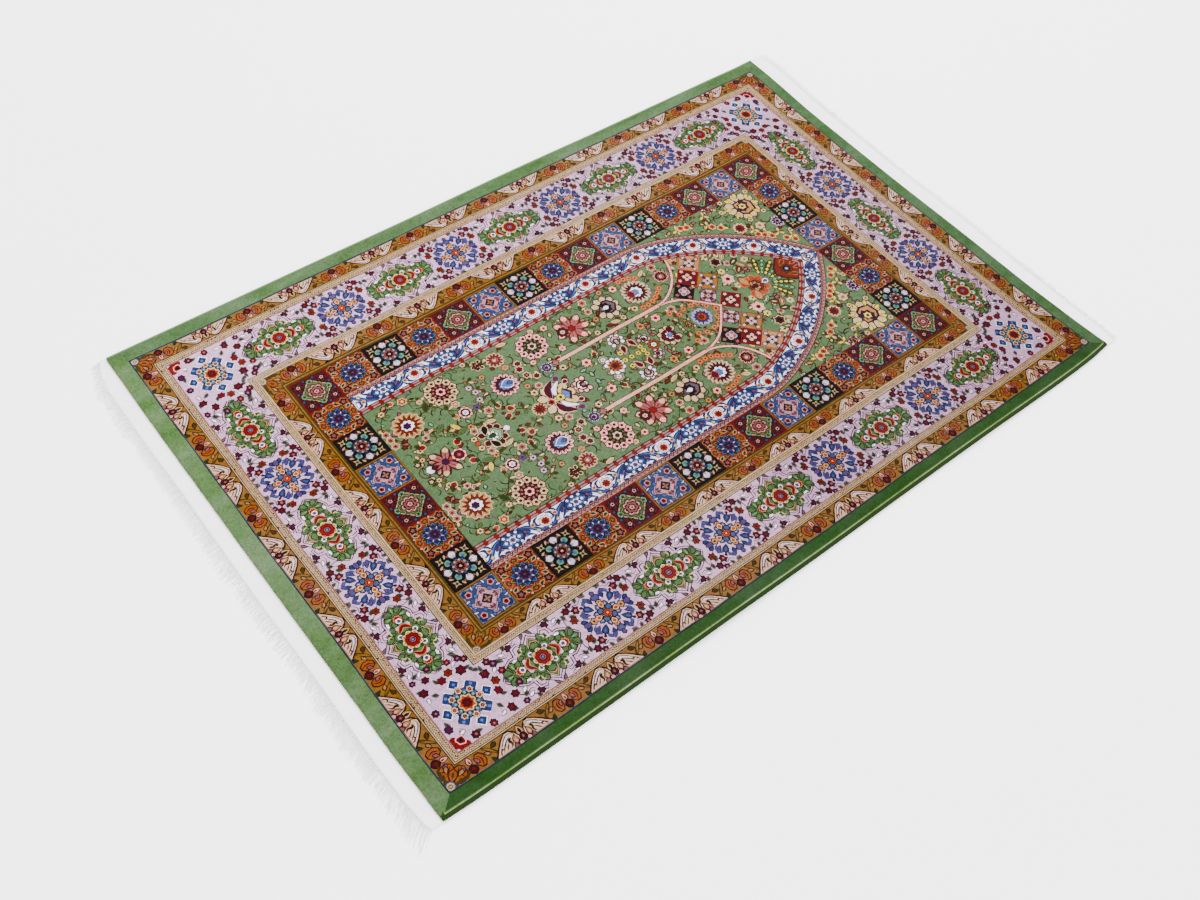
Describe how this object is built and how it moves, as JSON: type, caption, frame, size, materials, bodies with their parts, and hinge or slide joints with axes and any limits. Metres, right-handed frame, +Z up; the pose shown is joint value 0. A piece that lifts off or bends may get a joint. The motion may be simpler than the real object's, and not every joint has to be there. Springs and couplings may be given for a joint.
{
  "type": "prayer rug",
  "caption": "Rectangular prayer rug with a figured green pile, overcast sides, and white woven ends with fringes, lying flat on the floor.",
  "frame": {"origin": "middle of the pile panel's flat underside, on the floor", "axes": "+Z up, +Y to the head of the rug, where its arch points, +X to its right-hand side"},
  "size_m": [0.8201, 1.2913, 0.0089],
  "materials": {
    "pile": "silky cut pile, figured in green, lilac, gold, crimson, blue and cream",
    "side_cord": "overcast cord in light green yarn",
    "web": "plain woven white cotton",
    "fringe": "loose white cotton strands"
  },
  "bodies": {
    "root": {"pile": "pile", "side_cord_right": "side_cord", "side_cord_left": "side_cord", "web_foot": "web", "web_head": "web", "fringe_foot": "fringe", "fringe_head": "fringe"}
  },
  "joints": []
}
